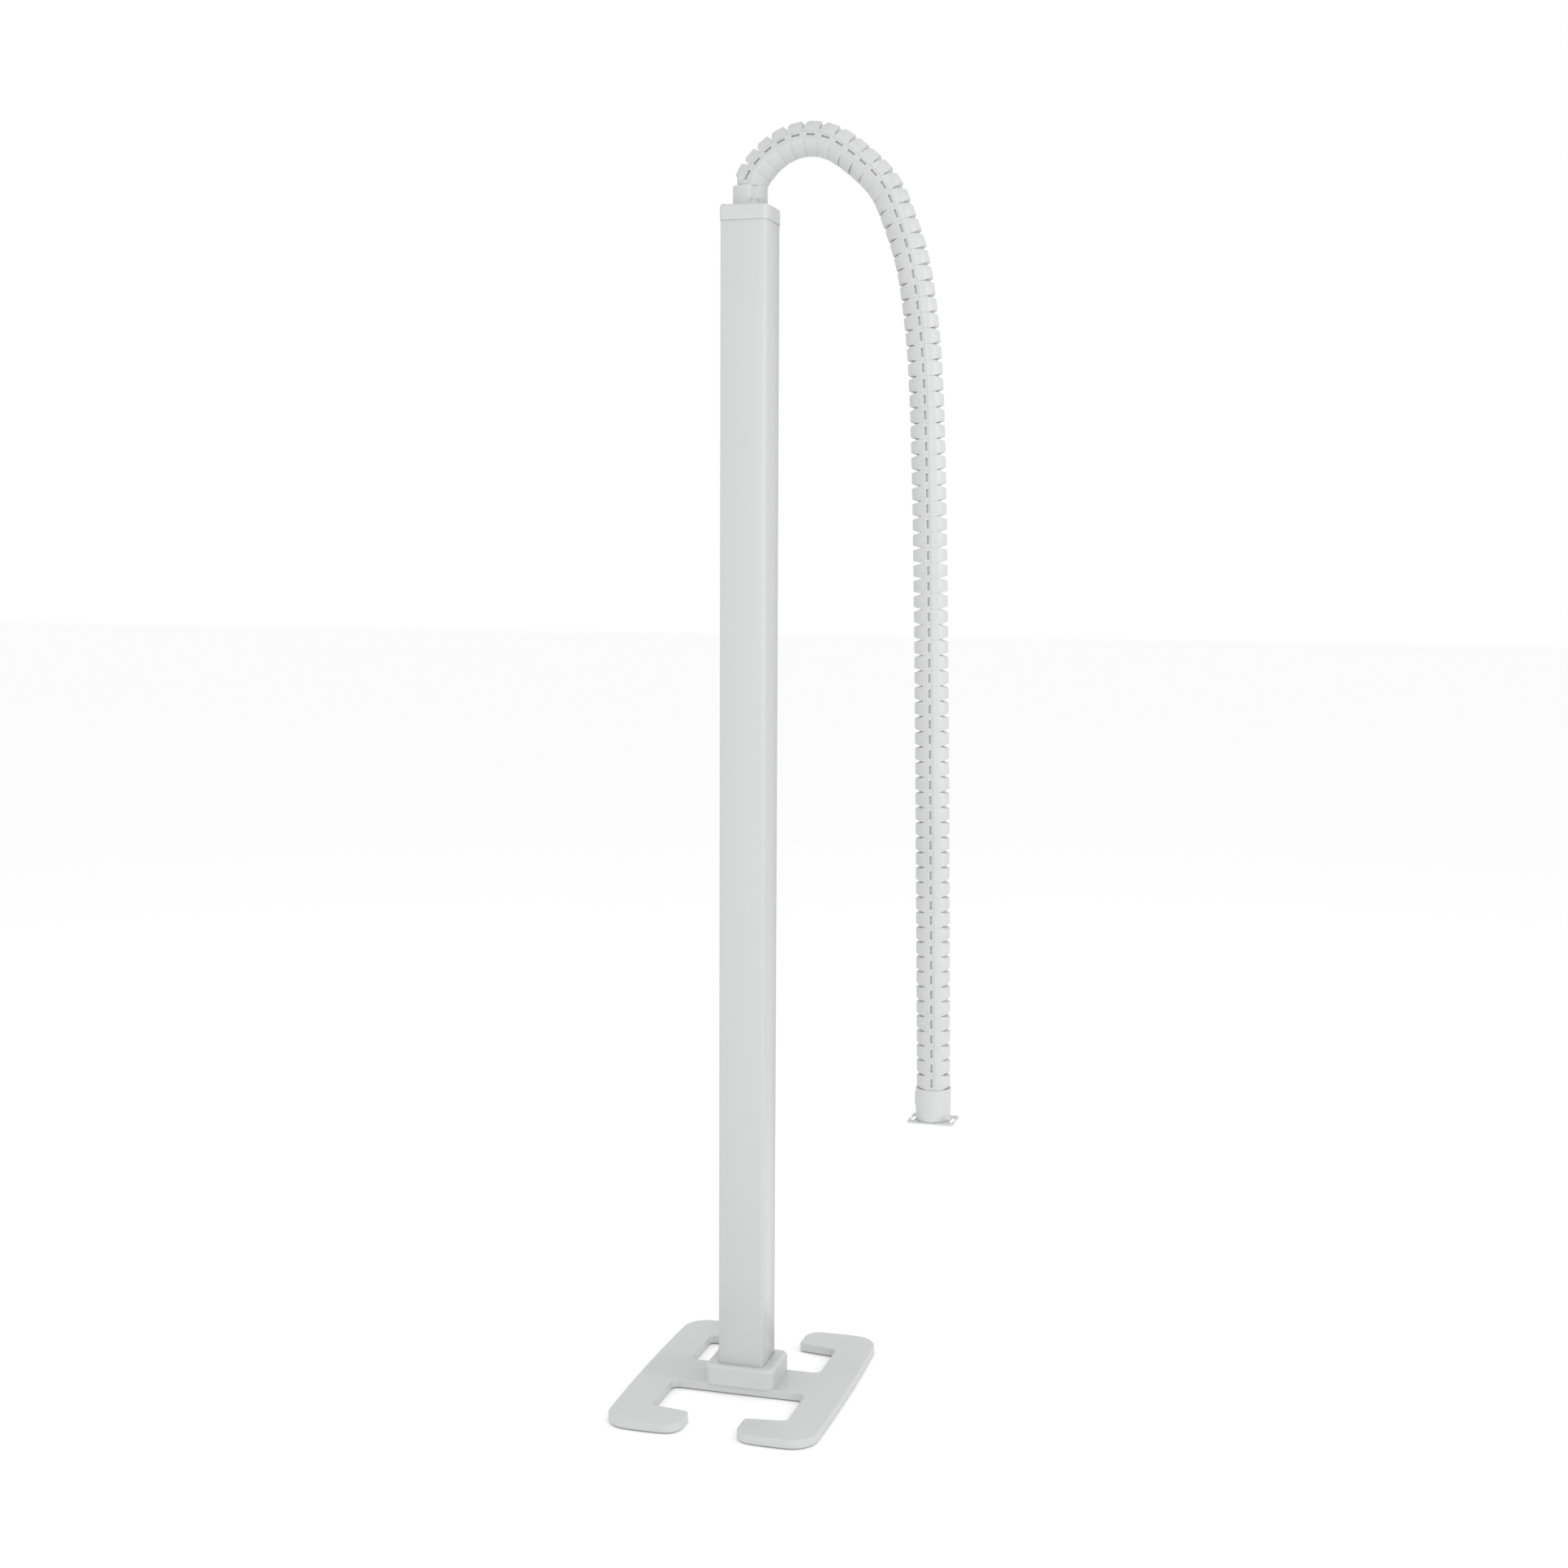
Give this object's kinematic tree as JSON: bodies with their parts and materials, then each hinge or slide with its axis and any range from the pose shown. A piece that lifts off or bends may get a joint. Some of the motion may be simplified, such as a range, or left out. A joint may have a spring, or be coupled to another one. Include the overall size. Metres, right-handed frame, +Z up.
{
  "type": "cable pole",
  "caption": "Free-standing cable pole: H-shaped foot, square hollow pole and a turning cuff with a segmented cable hose that hangs free and ends in a mounting flange.",
  "frame": {"origin": "on the floor, under the middle of the foot and of the pole", "axes": "+Z up; +X towards the side that the hose hangs on; -Y is the front"},
  "size_m": [0.4795, 0.418, 1.8752],
  "materials": {
    "grey_powder_coat": "fine satin powder coat",
    "grey_powder_coat_smooth": "smooth satin coat",
    "grey_plastic": "satin moulded",
    "hose_plastic": "satin moulded",
    "divider_plastic": "extruded",
    "bush_plastic": "smooth",
    "rubber": "matte",
    "aluminium": "machined",
    "zinc_steel": "zinc plated",
    "spring_steel": "oiled",
    "brass": "plain"
  },
  "bodies": {
    "stand": {"foot_plate": "grey_powder_coat", "floor_pads": "rubber", "pole_socket": "grey_powder_coat", "socket_screws": "zinc_steel", "pole_spigot": "aluminium", "spigot_screws": "zinc_steel", "pole_lock_screws": "zinc_steel", "earth_screw": "brass", "earth_washer": "brass", "pole_front": "grey_powder_coat_smooth", "pole_back": "grey_powder_coat_smooth", "pole_back_sill": "grey_powder_coat_smooth", "pole_back_left": "grey_powder_coat_smooth", "pole_back_right": "grey_powder_coat_smooth", "pole_left": "grey_powder_coat_smooth", "pole_right": "grey_powder_coat_smooth", "channel_divider": "divider_plastic", "outlet_grommet": "rubber", "top_cap": "grey_plastic", "cap_screws": "zinc_steel", "swivel_bush": "bush_plastic", "stop_pin": "zinc_steel"},
    "hose": {"swivel_cuff": "grey_plastic", "stop_ring": "bush_plastic", "cuff_circlip": "spring_steel", "upper_coupler": "hose_plastic", "cable_hose": "hose_plastic", "lower_coupler": "hose_plastic", "end_cuff": "grey_plastic"},
    "flange": {"mounting_flange": "grey_plastic", "flange_circlip": "spring_steel"}
  },
  "joints": [
    {"name": "hose_swivel", "type": "hinge", "parent": "stand", "child": "hose", "pos_m": [0, 0, 1.745], "axis": [0, 0, 1], "range_deg": [-160, 160]},
    {"name": "flange_swivel", "type": "hinge", "parent": "hose", "child": "flange", "pos_m": [0.2845, 0, 0.44], "axis": [0, 0, 1], "range_deg": [-170, 170]}
  ]
}
